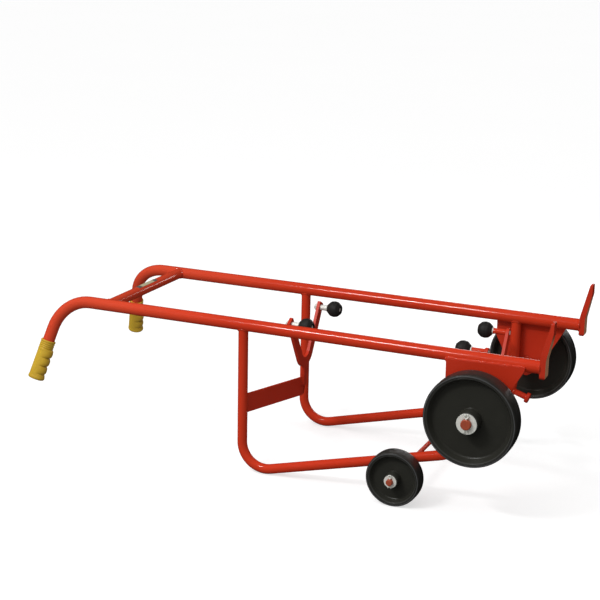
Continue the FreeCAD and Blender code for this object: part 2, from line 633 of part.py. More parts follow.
# ---------------------------------------------------------------------------
# cradle rollers overhung on bolts from the fork arms: the rear pair runs ahead of
# its fork on loose spacers, the front pair behind its fork on welded bosses
# ---------------------------------------------------------------------------
bolts, nuts, roller_washers = [], [], []
spacers = {"rear": [], "front": []}
for end, fx, q, offset in (("rear", FORK_REAR_X, 1.0, ROLLER_OFFSET_REAR),
                           ("front", FORK_FRONT_X, -1.0, ROLLER_OFFSET_FRONT)):
    for side, s in SIDES:
        tag = end + "_" + side
        xf, y, z = bx(fx), s * roller_y, roller_z
        x = xf + q * offset
        rb, h = ROLLER_BUSH_R, ROLLER_HALF
        # barrel, along the bolt towards its free end
        barrel = [(rb, -h), (ROLLER_END_R, -h), (ROLLER_R - 1.8, -h * 0.52), (ROLLER_R, 0),
                  (ROLLER_R - 1.8, h * 0.52), (ROLLER_END_R, h), (ROLLER_RECESS_R, h),
                  (ROLLER_RECESS_R, h - ROLLER_RECESS), (rb, h - ROLLER_RECESS)]
        put("cradle_roller_" + tag, positive(turned_x(
            [(p, q * a) for p, a in barrel], [0, 2.5, 8, 12, 8, 1.6, 1.2, 1, 0], y, z, x)))
        ri = ROLLER_BOLT_D / 2 + RUN_CLEAR
        put("roller_bush_" + tag, positive(turned_x(
            [(p, q * a) for p, a in ((ri, -ROLLER_BUSH_IN), (rb, -ROLLER_BUSH_IN),
                                     (rb, ROLLER_BUSH_OUT), (ri, ROLLER_BUSH_OUT))],
            [0, 0, 0, 0], y, z, x)))
        # along the bolt, measured from the fork plate's middle
        w_in = offset - ROLLER_BUSH_IN - FACE_CLEAR
        t_w = ROLLER_WASHER_T
        half = FORK_T / 2
        bore = cyl(V(xf - 120, y, z), V(xf + 120, y, z), ROLLER_BOLT_D / 2)
        loose = cyl(V(xf - 120, y, z), V(xf + 120, y, z), ROLLER_BOLT_D / 2 + 0.4)
        # low round head inside the roller's free end
        rh, h0 = ROLLER_HEAD_D / 2, offset + ROLLER_BUSH_OUT + FACE_CLEAR
        hp = [(0, 0), (rh, 0), (rh, 2.0), (rh * 0.55, ROLLER_HEAD_T), (0, ROLLER_HEAD_T)]
        head = positive(face_of([V(xf + q * (h0 + a), y, z + p) for p, a in hp], [0, 0, 1.5, 2.5, 0]).revolve(
            V(xf, y, z), V(1, 0, 0), 360))
        tail = half + (ROLLER_NUT_T + 3 if end == "rear" else 1)
        shank = cyl(V(xf + q * (h0 + 1), y, z), V(xf - q * tail, y, z), ROLLER_BOLT_D / 2)
        bolts.append(one_solid(fuse([head, shank])))
        spacer = cyl(V(xf + q * half, y, z), V(xf + q * (w_in - t_w), y, z), ROLLER_SPACER_OD / 2)
        spacers[end].append(one_solid(spacer.cut(bore)))
        ring = cyl(V(xf + q * (w_in - t_w), y, z), V(xf + q * w_in, y, z), ROLLER_WASHER_OD / 2)
        roller_washers.append(one_solid(ring.cut(loose)))
        if end == "rear":
            nuts.append(one_solid(hexagon_x(xf - q * (half + ROLLER_NUT_T), xf - q * half, y, z,
                                            ROLLER_NUT_AF).cut(bore)))
put("rear_roller_spacers", Part.makeCompound(spacers["rear"]))
put("front_roller_bosses", Part.makeCompound(spacers["front"]))
put("roller_bolts", Part.makeCompound(bolts))
put("roller_nuts", Part.makeCompound(nuts))
put("roller_washers", Part.makeCompound(roller_washers))

# ---------------------------------------------------------------------------
# lashing studs: a short peg with a hollow head, low on the front of each riser bend
# ---------------------------------------------------------------------------
for side, s in SIDES:
    y = s * RAIL_Y
    bend_c = V(bx(RISER_X) - RISER_BEND_R, y, 0)
    corner_z = runner_z(bx(RISER_X))
    bend_c.z = corner_z + RISER_BEND_R * math.tan((math.pi / 2 - rise) / 2)
    a = math.radians(-18.8)
    out_dir = V(math.cos(a), 0, math.sin(a))
    root = bend_c + out_dir * (RISER_BEND_R + 2.0)
    neck = bend_c + out_dir * (RISER_BEND_R + LOOP_OD / 2 + STUD_NECK)
    rh, th = STUD_HEAD_D / 2, STUD_HEAD_T
    prof = [(0, 0), (0, rh), (th, rh), (th, 8.5), (th - 5, 7.0), (th - 5, 0)]
    head = face_of([neck + out_dir * p + V(0, -s, 0) * q for p, q in prof], [0, 2, 2, 0.8, 0, 0])
    head = positive(head.revolve(neck, out_dir, 360))
    stud = fuse([cyl(root, neck + out_dir * 2, STUD_D / 2), head])
    core = ring_face(bend_c + V(0, 0, -RISER_BEND_R), V(1, 0, 0), LOOP_OD / 2, 0).revolve(
        bend_c, V(0, -1, 0), 90)
    put("lash_stud_" + side, max(stud.cut(core).Solids, key=lambda q: q.Volume))

# ---------------------------------------------------------------------------
# write every piece
# ---------------------------------------------------------------------------
box = FreeCAD.BoundBox()
for name, shape in nodes.items():
    box.add(shape.optimalBoundingBox())
    ok = shape.isValid() and len(shape.Solids) >= 1 and all(q.Volume > 0 for q in shape.Solids)
    if not ok:
        print("CHECK", name, shape.isValid(), len(shape.Solids), [q.Volume for q in shape.Solids])
    shape.exportStep("parts/" + name + ".step")
print(len(nodes), "nodes; box X %.2f %.2f Y %.2f %.2f Z %.2f %.2f" % (
    box.XMin, box.XMax, box.YMin, box.YMax, box.ZMin, box.ZMax))
print("centre X %.3f; pins at y %.2f and %.2f; runner at small axle %.1f" % (
    (box.XMin + box.XMax) / 2, big_pin_y, small_pin_y, runner_z(bx(SMALL_AXLE_X))))
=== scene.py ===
import math
import random

import bmesh
import bpy
from mathutils import Matrix, Vector


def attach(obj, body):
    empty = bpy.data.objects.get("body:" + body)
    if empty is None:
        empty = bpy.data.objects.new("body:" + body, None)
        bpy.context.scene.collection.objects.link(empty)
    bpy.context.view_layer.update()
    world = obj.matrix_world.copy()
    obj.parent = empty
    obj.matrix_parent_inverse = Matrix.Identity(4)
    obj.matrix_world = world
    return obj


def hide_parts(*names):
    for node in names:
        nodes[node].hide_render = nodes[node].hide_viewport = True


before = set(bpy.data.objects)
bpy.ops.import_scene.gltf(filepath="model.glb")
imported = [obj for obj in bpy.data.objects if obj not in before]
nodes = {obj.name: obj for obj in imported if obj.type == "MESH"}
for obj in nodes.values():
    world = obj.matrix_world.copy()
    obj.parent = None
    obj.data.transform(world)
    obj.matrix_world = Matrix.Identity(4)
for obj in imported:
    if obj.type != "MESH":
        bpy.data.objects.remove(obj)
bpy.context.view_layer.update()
scene = bpy.context.scene

# ---------------------------------------------------------------------------
# sizes that the added pieces share with the frame (metres)
# ---------------------------------------------------------------------------
BED_X = 0.232148
RAIL_R, RAIL_Y, RAIL_Z = 0.0159, 0.200, 0.392
LOOP_R = 0.0127
BAR_R = 0.0143
LEG_X, RISER_X = BED_X - 0.327, BED_X + 0.275
BAR_X = BED_X - 0.723
FORK_REAR_X, FORK_FRONT_X, FORK_HALF = BED_X - 0.242, BED_X + 0.282, 0.004
ROLLER_Y, ROLLER_Z = 0.0944261, 0.3768392
TOE_X = BED_X + 0.443
AXLE_X, AXLE_Z, AXLE_R = BED_X + 0.305, 0.267, 0.0125
SMALL_X, SMALL_Z = BED_X + 0.107, 0.070
SIDES = (("right", -1.0), ("left", 1.0))

# ---------------------------------------------------------------------------
# small helpers for node materials
# ---------------------------------------------------------------------------


class Mat:
    """A principled material with a few short-hands for building its nodes."""

    def __init__(self, name):
        self.mat = bpy.data.materials.new(name)
        self.mat.use_nodes = True
        self.nt = self.mat.node_tree
        self.nt.nodes.clear()
        self.out = self.add("ShaderNodeOutputMaterial")
        self.bsdf = self.add("ShaderNodeBsdfPrincipled")
        self.link(self.bsdf.outputs[0], self.out.inputs[0])
        self.coord = self.add("ShaderNodeTexCoord").outputs["Object"]

    def add(self, kind, **props):
        n = self.nt.nodes.new(kind)
        for k, v in props.items():
            setattr(n, k, v)
        return n

    def link(self, a, b):
        self.nt.links.new(a, b)

    def feed(self, socket, value):
        if hasattr(value, "is_linked"):
            self.link(value, socket)
        else:
            socket.default_value = value

    def set(self, name, value):
        self.feed(self.bsdf.inputs[name], value)

    def noise(self, scale, detail=4.0, rough=0.55, vec=None, distortion=0.0):
        n = self.add("ShaderNodeTexNoise")
        n.inputs["Scale"].default_value = scale
        n.inputs["Detail"].default_value = detail
        n.inputs["Roughness"].default_value = rough
        n.inputs["Distortion"].default_value = distortion
        self.link(vec if vec is not None else self.coord, n.inputs["Vector"])
        return n.outputs["Fac"]

    def stretch(self, scale, rotation=(0, 0, 0), location=(0, 0, 0)):
        n = self.add("ShaderNodeMapping")
        n.inputs["Scale"].default_value = scale
        n.inputs["Rotation"].default_value = rotation
        n.inputs["Location"].default_value = location
        self.link(self.coord, n.inputs["Vector"])
        return n.outputs["Vector"]

    def voronoi(self, scale, feature="F1", vec=None):
        n = self.add("ShaderNodeTexVoronoi", feature=feature)
        n.inputs["Scale"].default_value = scale
        self.link(vec if vec is not None else self.coord, n.inputs["Vector"])
        return n.outputs["Distance"]

    def ramp(self, fac, lo, hi, smooth=True):
        """0 at lo, 1 at hi, held flat outside."""
        n = self.add("ShaderNodeMapRange", interpolation_type="SMOOTHSTEP" if smooth else "LINEAR")
        n.inputs["From Min"].default_value = lo
        n.inputs["From Max"].default_value = hi
        self.feed(n.inputs["Value"], fac)
        return n.outputs["Result"]

    def span(self, fac, lo, hi):
        """A 0..1 value stretched linearly to lo..hi."""
        n = self.add("ShaderNodeMapRange")
        n.inputs["To Min"].default_value = lo
        n.inputs["To Max"].default_value = hi
        self.feed(n.inputs["Value"], fac)
        return n.outputs["Result"]

    def math(self, op, a, b=0.0, clamp=False):
        n = self.add("ShaderNodeMath", operation=op, use_clamp=clamp)
        self.feed(n.inputs[0], a)
        self.feed(n.inputs[1], b)
        return n.outputs[0]

    def mix(self, fac, a, b, blend="MIX"):
        n = self.add("ShaderNodeMix", data_type="RGBA", blend_type=blend)
        self.feed(n.inputs[0], fac)
        self.feed(n.inputs[6], a if hasattr(a, "is_linked") else (*a, 1.0))
        self.feed(n.inputs[7], b if hasattr(b, "is_linked") else (*b, 1.0))
        return n.outputs[2]

    def bump(self, height, distance, strength=1.0, normal=None):
        n = self.add("ShaderNodeBump")
        n.inputs["Distance"].default_value = distance
        n.inputs["Strength"].default_value = strength
        self.link(height, n.inputs["Height"])
        if normal is not None:
            self.link(normal, n.inputs["Normal"])
        return n.outputs["Normal"]

    def bevel(self, radius):
        n = self.add("ShaderNodeBevel", samples=6)
        n.inputs["Radius"].default_value = radius
        return n.outputs["Normal"]

    def edge(self, radius):
        """About 0 on flat and gently curved faces, rising at sharp edges."""
        geo = self.add("ShaderNodeNewGeometry")
        dot = self.add("ShaderNodeVectorMath", operation="DOT_PRODUCT")
        self.link(self.bevel(radius), dot.inputs[0])
        self.link(geo.outputs["True Normal"], dot.inputs[1])
        return self.math("SUBTRACT", 1.0, dot.outputs["Value"], clamp=True)

    def xyz(self):
        n = self.add("ShaderNodeSeparateXYZ")
        self.link(self.coord, n.inputs[0])
        return n.outputs

    def attribute(self, name):
        n = self.add("ShaderNodeAttribute", attribute_name=name)
        return n.outputs["Fac"]


# ---------------------------------------------------------------------------
# materials
# ---------------------------------------------------------------------------


def paint_material(name, tone_a, tone_b, rough_lo, rough_hi, chips=0.5, floor_wear=False, bare_and_lit_front=False,
                   gloss=0.55, worn_ends=False):
    """Gloss enamel on welded steel: faint orange peel, slight tone drift, worn edges."""
    m = Mat(name)
    drift = m.noise(5.0, 3.0)
    fine = m.noise(55.0, 5.0)
    col = m.mix(m.ramp(drift, 0.30, 0.70), tone_a, tone_b)
    dusty = m.ramp(m.noise(22.0, 6.0, 0.65), 0.58, 0.85)
    col = m.mix(m.math("MULTIPLY", dusty, 0.05), col, (0.50, 0.16, 0.09))
    # painted sheen: paler and more orange towards the handles, colour standing in for a broad soft reflection on the
    # paint there
    handle_sheen = m.math("MULTIPLY", m.ramp(m.xyz()["X"], -0.04, -0.56), m.span(m.noise(18.0, 4.0), 0.75, 1.0))
    col = m.mix(handle_sheen, col, (0.68, 0.070, 0.029))
    # thin paint and small chips at sharp edges
    edge = m.ramp(m.edge(0.0012), 0.02, 0.22)
    broken = m.ramp(m.noise(150.0, 5.0, 0.7), 0.52, 0.64)
    col = m.mix(m.math("MULTIPLY", edge, 0.35), col, (0.64, 0.10, 0.05))
    chip = m.math("MULTIPLY", m.math("MULTIPLY", edge, broken), chips, clamp=True)
    # a few isolated nicks and rub marks on the faces
    nick = m.ramp(m.voronoi(34.0), 0.050, 0.028)
    nick = m.math("MULTIPLY", nick, m.ramp(m.noise(9.0, 2.0), 0.64, 0.70))
    rub = m.noise(60.0, 6.0, 0.7, m.stretch((0.12, 1.0, 1.0)))
    rub = m.math("MULTIPLY", m.ramp(rub, 0.62, 0.72), m.ramp(m.noise(4.0, 2.0), 0.54, 0.66))
    chip = m.math("MAXIMUM", chip, m.math("MULTIPLY", nick, chips))
    if floor_wear:
        z = m.xyz()["Z"]
        low = m.ramp(z, 0.010, 0.001)
        low = m.math("MULTIPLY", low, m.ramp(m.noise(120.0, 6.0, 0.7, m.stretch((0.3, 1, 1))), 0.40, 0.56))
        chip = m.math("MAXIMUM", chip, low)
    col = m.mix(chip, col, (0.20, 0.13, 0.11))
    if bare_and_lit_front:
        # faces turned forward are rubbed through to a tan primer and painted lighter still as a painted highlight
        # where the lit edge catches light, ragged towards the tip
        geo = m.add("ShaderNodeNewGeometry")
        nrm = m.add("ShaderNodeSeparateXYZ")
        m.link(geo.outputs["Normal"], nrm.inputs[0])
        ahead = m.ramp(nrm.outputs["X"], 0.55, 0.86)
        ragged = m.math("ADD", m.xyz()["Z"], m.math("MULTIPLY", m.noise(60.0, 6.0, 0.7), 0.05))
        bare_and_lit = m.math("MULTIPLY", ahead, m.ramp(ragged, 0.502, 0.474))
        bare_and_lit = m.math("MULTIPLY", bare_and_lit, m.span(m.noise(140.0, 5.0, 0.65), 0.55, 1.0), clamp=True)
        col = m.mix(bare_and_lit, col, m.mix(m.noise(90.0, 5.0), (0.86, 0.52, 0.30), (0.70, 0.38, 0.20)))
    col = m.mix(m.math("MULTIPLY", rub, 0.12), col, (0.30, 0.05, 0.03))
    ends = None
    if worn_ends:
        # an axle's ends, rubbed thin and dull by the wheels
        ends = m.ramp(m.math("ABSOLUTE", m.xyz()["Y"]), 0.226, 0.238)
        col = m.mix(ends, col, m.mix(m.noise(70.0, 4.0), (0.42, 0.078, 0.032), (0.34, 0.058, 0.026)))
    m.set("Base Color", col)
    rough = m.span(fine, rough_lo, rough_hi)
    if ends is not None:
        rough = m.math("ADD", rough, m.math("MULTIPLY", ends, 0.28))
    rough = m.math("ADD", rough, m.math("MULTIPLY", dusty, 0.06))
    rough = m.math("ADD", rough, m.math("MULTIPLY", chip, 0.30), clamp=True)
    m.set("Roughness", rough)
    m.set("Metallic", m.math("MULTIPLY", chip, 0.45))
    m.bsdf.inputs["Specular IOR Level"].default_value = gloss
    peel = m.bump(m.noise(240.0, 2.0), 0.00012, 0.25, m.bevel(0.0009))
    dent = m.bump(m.math("SUBTRACT", 1.0, chip), 0.00025, 0.7, peel)
    m.link(dent, m.bsdf.inputs["Normal"])
    return m.mat


def weld_material():
    """The same enamel over a bead: pools glossier in the ripples, a little darker."""
    m = Mat("enamel_on_weld")
    drift = m.noise(40.0, 4.0)
    col = m.mix(drift, (0.56, 0.034, 0.012), (0.64, 0.052, 0.020))
    soot = m.ramp(m.noise(95.0, 4.0), 0.60, 0.78)
    col = m.mix(m.math("MULTIPLY", soot, 0.35), col, (0.20, 0.025, 0.015))
    m.set("Base Color", col)
    m.set("Roughness", m.span(m.noise(300.0, 3.0), 0.10, 0.24))
    m.bsdf.inputs["Specular IOR Level"].default_value = 0.8
    m.link(m.bump(m.noise(700.0, 3.0), 0.0003, 0.5), m.bsdf.inputs["Normal"])
    return m.mat


def grip_material():
    """Mustard dipped vinyl: satin, fine grain, darker in the finger valleys."""
    m = Mat("grip_vinyl")
    tone = m.mix(m.ramp(m.noise(18.0, 4.0), 0.35, 0.68), (0.635, 0.405, 0.026), (0.565, 0.342, 0.020))
    # darker in the finger valleys, broken up by noise
    valley_mask = m.attribute("valley")
    smear = m.ramp(m.noise(70.0, 6.0, 0.65), 0.38, 0.72)
    valley_darkening = m.math("MULTIPLY", m.math("MULTIPLY", valley_mask, smear), 0.70)
    col = m.mix(valley_darkening, tone, (0.24, 0.135, 0.012))
    speck = m.ramp(m.voronoi(160.0), 0.10, 0.05)
    speck = m.math("MULTIPLY", speck, m.ramp(m.noise(30.0, 2.0), 0.60, 0.70))
    col = m.mix(m.math("MULTIPLY", speck, 0.6), col, (0.12, 0.08, 0.03))
    m.set("Base Color", col)
    m.set("Roughness", m.span(m.noise(120.0, 4.0), 0.46, 0.66))
    m.bsdf.inputs["Specular IOR Level"].default_value = 0.42
    m.bsdf.inputs["Subsurface Weight"].default_value = 0.06
    m.bsdf.inputs["Subsurface Radius"].default_value = (0.004, 0.002, 0.0006)
    m.link(m.bump(m.noise(900.0, 3.0), 0.00016, 0.6), m.bsdf.inputs["Normal"])
    return m.mat


def radius_from(m, cx, cz):
    """Distance of the surface point from a wheel's axis, which runs along Y."""
    p = m.xyz()
    dx = m.math("SUBTRACT", p["X"], cx)
    dz = m.math("SUBTRACT", p["Z"], cz)
    sq = m.math("ADD", m.math("MULTIPLY", dx, dx), m.math("MULTIPLY", dz, dz))
    return m.math("SQRT", sq)


def painted_highlight_ring(m, r, at, half, seed_scale):
    """1 on a narrow ring about the axis: a painted highlight line along an edge, broken up round the wheel."""
    away = m.math("ABSOLUTE", m.math("SUBTRACT", r, at))
    return m.math("MULTIPLY", m.ramp(away, half, half * 0.3), m.span(m.noise(seed_scale, 3.0, 0.6), 0.35, 1.0))


def tyre_material(name, cx, cz, radius):
    """Solid black rubber: satin side walls, tread rubbed grey with floor dust."""
    m = Mat(name)
    r = radius_from(m, cx, cz)
    tread = m.ramp(r, radius - 0.0035, radius - 0.0008)
    blotch = m.ramp(m.noise(48.0, 6.0, 0.65), 0.34, 0.70)
    scuff = m.ramp(m.noise(170.0, 6.0, 0.7, m.stretch((1.0, 0.35, 1.0))), 0.50, 0.72)
    base = m.mix(m.noise(14.0, 3.0), (0.0215, 0.0215, 0.0192), (0.0275, 0.0273, 0.0240))
    dust = m.math("MULTIPLY", tread, m.math("ADD", m.math("MULTIPLY", blotch, 0.42),
                                            m.math("MULTIPLY", scuff, 0.40)), clamp=True)
    col = m.mix(m.math("MULTIPLY", dust, 0.65), base, (0.060, 0.057, 0.051))
    haze = m.math("MULTIPLY", m.ramp(m.noise(26.0, 5.0, 0.6), 0.52, 0.78), 0.18)
    col = m.mix(haze, col, (0.040, 0.040, 0.037))
    # painted highlight: a thin pale line round the tyre's shoulder edge
    highlight_line = painted_highlight_ring(m, r, radius - 0.0042, 0.0012, 24.0)
    col = m.mix(m.math("MULTIPLY", highlight_line, 0.70), col, (0.170, 0.172, 0.180))
    m.set("Base Color", col)
    rough = m.span(m.noise(90.0, 4.0), 0.28, 0.40)
    m.set("Roughness", m.math("ADD", rough, m.math("MULTIPLY", dust, 0.30), clamp=True))
    m.bsdf.inputs["Specular IOR Level"].default_value = 0.50
    grain = m.bump(m.noise(650.0, 3.0), 0.00012, 0.5, m.bevel(0.0010))
    m.link(m.bump(scuff, 0.00012, 0.5, grain), m.bsdf.inputs["Normal"])
    return m.mat


def wheel_plastic(name, cx, cz, lip, hub):
    """Black moulded wheel centre: fine spark texture, faint turning rings, soft dust."""
    m = Mat(name)
    r = radius_from(m, cx, cz)
    rings = m.math("SINE", m.math("MULTIPLY", r, 2400.0))
    base = m.mix(m.noise(11.0, 3.0), (0.0255, 0.0255, 0.0205), (0.0320, 0.0316, 0.0260))
    dust = m.math("MULTIPLY", m.ramp(m.noise(33.0, 6.0, 0.62), 0.50, 0.80), 0.22)
    col = m.mix(dust, base, (0.050, 0.048, 0.041))
    edge = m.ramp(m.edge(0.0010), 0.03, 0.25)
    col = m.mix(m.math("MULTIPLY", edge, 0.45), col, (0.120, 0.120, 0.116))
    # painted highlight: thin pale lines round the rim lip and the hub's edge
    highlight_line = m.math("MAXIMUM", painted_highlight_ring(m, r, lip, 0.0015, 21.0), painted_highlight_ring(m, r, hub - 0.0006, 0.0011, 40.0))
    col = m.mix(m.math("MULTIPLY", highlight_line, 0.55), col, (0.100, 0.100, 0.098))
    m.set("Base Color", col)
    m.set("Roughness", m.span(m.noise(60.0, 4.0), 0.25, 0.38))
    m.bsdf.inputs["Specular IOR Level"].default_value = 0.42
    tex = m.bump(m.noise(1100.0, 2.0), 0.00007, 0.6, m.bevel(0.0010))
    m.link(m.bump(rings, 0.00002, 0.5, tex), m.bsdf.inputs["Normal"])
    return m.mat


def roller_material():
    """Moulded black rubber roller, scuffed dull on the crown."""
    m = Mat("roller_rubber")
    base = m.mix(m.noise(60.0, 4.0), (0.015, 0.015, 0.014), (0.025, 0.024, 0.023))
    scuff = m.ramp(m.noise(240.0, 6.0, 0.7, m.stretch((0.5, 1.0, 1.0))), 0.50, 0.70)
    col = m.mix(m.math("MULTIPLY", scuff, 0.35), base, (0.060, 0.052, 0.048))
    m.set("Base Color", col)
    m.set("Roughness", m.span(m.noise(150.0, 4.0), 0.42, 0.62))
    m.bsdf.inputs["Specular IOR Level"].default_value = 0.25
    m.link(m.bump(m.noise(800.0, 3.0), 0.00012, 0.6, m.bevel(0.0008)), m.bsdf.inputs["Normal"])
    return m.mat


def zinc_material():
    """Bright zinc plate: mottled, slightly yellow, dull where handled."""
    m = Mat("zinc_plate")
    mott = m.ramp(m.noise(190.0, 5.0, 0.6), 0.32, 0.70)
    col = m.mix(mott, (0.80, 0.81, 0.75), (0.90, 0.90, 0.84))
    dull = m.math("MULTIPLY", m.ramp(m.noise(60.0, 5.0), 0.52, 0.74), 0.4)
    col = m.mix(dull, col, (0.42, 0.40, 0.35))
    m.set("Base Color", col)
    m.bsdf.inputs["Metallic"].default_value = 0.18
    m.set("Roughness", m.span(m.noise(140.0, 4.0), 0.34, 0.52))
    scratch = m.noise(420.0, 3.0, 0.6, m.stretch((1.0, 0.2, 1.0)))
    m.link(m.bump(scratch, 0.00006, 0.5, m.bevel(0.0004)), m.bsdf.inputs["Normal"])
    return m.mat


def nylon_material():
    """Natural nylon bush, faintly oiled."""
    m = Mat("bush_nylon")
    col = m.mix(m.noise(90.0, 4.0), (0.66, 0.63, 0.54), (0.52, 0.47, 0.36))
    m.set("Base Color", col)
    m.set("Roughness", m.span(m.noise(200.0, 3.0), 0.34, 0.52))
    m.link(m.bump(m.noise(600.0, 2.0), 0.00008, 0.5, m.bevel(0.0004)), m.bsdf.inputs["Normal"])
    return m.mat


def label_material():
    """Blank film: cream middle, grey end bands, slightly yellowed and rubbed."""
    m = Mat("label_film")
    p = m.xyz()
    ends = m.ramp(m.math("ABSOLUTE", p["Y"]), 0.0328, 0.0334)
    col = m.mix(m.noise(60.0, 4.0), (0.55, 0.52, 0.34), (0.47, 0.43, 0.26))
    col = m.mix(ends, col, (0.13, 0.14, 0.125))
    rub = m.ramp(m.noise(160.0, 6.0, 0.7, m.stretch((1, 0.25, 1))), 0.58, 0.74)
    col = m.mix(m.math("MULTIPLY", rub, 0.35), col, (0.44, 0.37, 0.26))
    m.set("Base Color", col)
    m.set("Roughness", m.span(m.noise(90.0, 3.0), 0.30, 0.46))
    m.link(m.bump(m.noise(300.0, 3.0), 0.00006, 0.4), m.bsdf.inputs["Normal"])
    return m.mat


RED_A, RED_B = (0.65, 0.0455, 0.0160), (0.60, 0.039, 0.0135)
paint = paint_material("enamel_red", RED_A, RED_B, 0.09, 0.17, chips=0.45)
paint_leg = paint_material("enamel_red_legs", RED_A, RED_B, 0.09, 0.17, chips=0.45, floor_wear=True)
paint_plate = paint_material("enamel_red_plates", (0.60, 0.037, 0.0135), (0.55, 0.032, 0.0115),
                             0.18, 0.30, chips=0.7, gloss=0.40)
paint_toe = paint_material("enamel_red_toes", (0.60, 0.037, 0.0135), (0.55, 0.032, 0.0115),
                           0.18, 0.30, chips=0.8, bare_and_lit_front=True, gloss=0.40)
paint_fork = paint_material("enamel_red_forks", (0.58, 0.036, 0.0130), (0.53, 0.031, 0.0110),
                            0.28, 0.40, chips=0.7, gloss=0.20)
paint_axle = paint_material("enamel_red_axles", (0.58, 0.038, 0.0140), (0.52, 0.033, 0.0120),
                            0.16, 0.28, chips=0.7, gloss=0.45, worn_ends=True)
weld = weld_material()
vinyl = grip_material()
tyre_big = tyre_material("tyre_rubber_large", AXLE_X, AXLE_Z, 0.114)
tyre_small = tyre_material("tyre_rubber_small", SMALL_X, SMALL_Z, 0.070)
centre_big = wheel_plastic("wheel_plastic_large", AXLE_X, AXLE_Z, 0.1036, 0.026)
centre_small = wheel_plastic("wheel_plastic_small", SMALL_X, SMALL_Z, 0.0602, 0.017)
roller_rubber = roller_material()
zinc = zinc_material()
nylon = nylon_material()
label = label_material()


def material_of(name):
    if name.startswith("big_wheel_tyre"):
        return tyre_big
    if name.startswith("small_wheel_tyre"):
        return tyre_small
    if name.startswith("big_wheel_centre"):
        return centre_big
    if name.startswith("small_wheel_centre"):
        return centre_small
    if "_bush_" in name:
        return nylon
    if name.startswith("cradle_roller"):
        return roller_rubber
    if "washer" in name or "pins" in name or name in ("roller_bolts", "roller_nuts", "rear_roller_spacers"):
        return zinc
    if name == "label_plate":
        return label
    if name.startswith("grip"):
        return vinyl
    if name.startswith("leg_loop"):
        return paint_leg
    if name in ("main_axle", "small_axle"):
        return paint_axle
    if name.startswith("toe_plate"):
        return paint_toe
    if name.startswith(("rear_fork", "front_fork")):
        return paint_fork
    if name.startswith(("axle_plate", "lash_stud", "leg_strap")):
        return paint_plate
    return paint


for name, obj in nodes.items():
    obj.data.materials.clear()
    obj.data.materials.append(material_of(name))

# ---------------------------------------------------------------------------
# mesh helpers
# ---------------------------------------------------------------------------


def new_piece(name, bm, material, body, smooth=True):
    mesh = bpy.data.meshes.new(name)
    bmesh.ops.recalc_face_normals(bm, faces=bm.faces[:])
    bm.to_mesh(mesh)
    bm.free()
    if smooth:
        for f in mesh.polygons:
            f.use_smooth = True
    obj = bpy.data.objects.new(name, mesh)
    scene.collection.objects.link(obj)
    mesh.materials.append(material)
    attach(obj, body)
    return obj


def tube_into(bm, pts, radius_at, closed, sides=12, flat=1.0):
    """Tube along points; radius_at(i, n) gives each ring's radius. Ends are capped and domed."""
    n = len(pts)
    tang = []
    for i in range(n):
        if closed:
            t = pts[(i + 1) % n] - pts[i - 1]
        else:
            t = pts[min(i + 1, n - 1)] - pts[max(i - 1, 0)]
        tang.append(t.normalized())
    ref = Vector((0, 0, 1)) if abs(tang[0].z) < 0.9 else Vector((1, 0, 0))
    u = tang[0].cross(ref).normalized()
    rings = []
    for i in range(n):
        t = tang[i]
        u = (u - t * u.dot(t)).normalized()
        v = t.cross(u)
        r = radius_at(i, n)
        rings.append([bm.verts.new(pts[i] + (u * math.cos(a) + v * math.sin(a)) * r)
                      for a in (2 * math.pi * k / sides for k in range(sides))])
    count = n if closed else n - 1
    for i in range(count):
        a, b = rings[i], rings[(i + 1) % n]
        shift = 0
        if closed and i == n - 1:
            shift = min(range(sides), key=lambda s: (a[0].co - b[s].co).length)
        for k in range(sides):
            bm.faces.new((a[k], a[(k + 1) % sides], b[(k + 1 + shift) % sides], b[(k + shift) % sides]))
    if not closed:
        for ring, p, t in ((rings[0], pts[0], -tang[0]), (rings[-1], pts[-1], tang[-1])):
            tip = bm.verts.new(p + t * (ring[0].co - p).length * 0.5)
            for k in range(sides):
                bm.faces.new((ring[k], ring[(k + 1) % sides], tip))


def resample(pts, step, closed):
    """Points spaced evenly along a line."""
    src = list(pts) + ([pts[0]] if closed else [])
    cum = [0.0]
    for a, b in zip(src, src[1:]):
        cum.append(cum[-1] + (b - a).length)
    count = max(6, int(cum[-1] / step))
    out, j = [], 0
    for i in range(count if closed else count + 1):
        d = cum[-1] * i / count
        while j < len(cum) - 2 and cum[j + 1] < d:
            j += 1
        f = (d - cum[j]) / max(1e-9, cum[j + 1] - cum[j])
        out.append(src[j].lerp(src[j + 1], min(1.0, max(0.0, f))))
    return out


def bead_into(bm, pts, radius, closed, seed, ripple=0.0034):
    """A weld bead: overlapping puddles along the seam, uneven in width and height."""
    rng = random.Random(seed)
    step = 0.0006
    line = resample(pts, step, closed)
    n = len(line)
    # puddle positions with uneven spacing
    marks, d = [], 0.0
    while d < n * step + ripple:
        marks.append(d)
        d += ripple * rng.uniform(0.75, 1.3)
    size = [rng.uniform(0.82, 1.16) for _ in marks]
    wander = [rng.uniform(-1, 1) for _ in range(n // 12 + 3)]

    def rad(i, total):
        s = i * step
        best = 0.0
        for mk, sz in zip(marks, size):
            q = (s - mk) / (ripple * 0.95)
            if -0.4 <= q <= 1.3:
                # steep leading edge, long tail: the look of overlapping puddles
                h = 1.0 - (q / 1.3) ** 2 * 0.26 if q >= 0 else 1.0 - (q / 0.4) ** 2 * 0.30
                best = max(best, h * sz)
        w = wander[i // 12] * (1 - (i % 12) / 12) + wander[i // 12 + 1] * ((i % 12) / 12)
        r = radius * max(0.7, best) * (1 + 0.06 * w)
        if not closed:
            end = min(i, total - 1 - i) * step
            r *= min(1.0, 0.45 + 0.55 * end / (radius * 1.5))
        return r

    tube_into(bm, line, rad, closed, sides=10)


def circle(centre, u, v, r, n=96):
    return [centre + (u * math.cos(a) + v * math.sin(a)) * r
            for a in (2 * math.pi * k / n for k in range(n))]


# ---------------------------------------------------------------------------
# weld beads
# ---------------------------------------------------------------------------
X, Y, Z = Vector((1, 0, 0)), Vector((0, 1, 0)), Vector((0, 0, 1))

